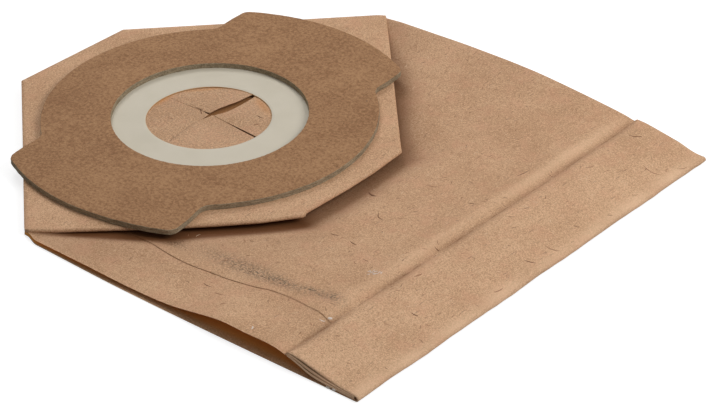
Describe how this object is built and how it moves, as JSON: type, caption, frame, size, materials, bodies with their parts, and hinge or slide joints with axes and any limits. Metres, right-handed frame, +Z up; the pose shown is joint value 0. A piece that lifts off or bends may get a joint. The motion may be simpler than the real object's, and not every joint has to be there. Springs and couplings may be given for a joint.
{
  "type": "vacuum dust bag",
  "caption": "Flat folded kraft paper dust bag for a wet and dry vacuum cleaner, with a hexagonal block bottom, a round board collar with tabs and a sealing ring.",
  "frame": {"origin": "on the underside, right below the inlet's centre", "axes": "+Z up out of the inlet, +X along the tube to the closed end, +Y to the tip of the block bottom that stands higher"},
  "size_m": [0.2735, 0.2416, 0.0119],
  "materials": {
    "kraft_paper": "unbleached kraft paper, matt, with fibres",
    "grey_board": "greyboard lined with brown kraft, matt",
    "seal_membrane": "smooth off-white rubber, satin"
  },
  "bodies": {
    "root": {"paper_bag": "kraft_paper", "collar_board": "grey_board", "seal_ring": "seal_membrane"}
  },
  "joints": []
}
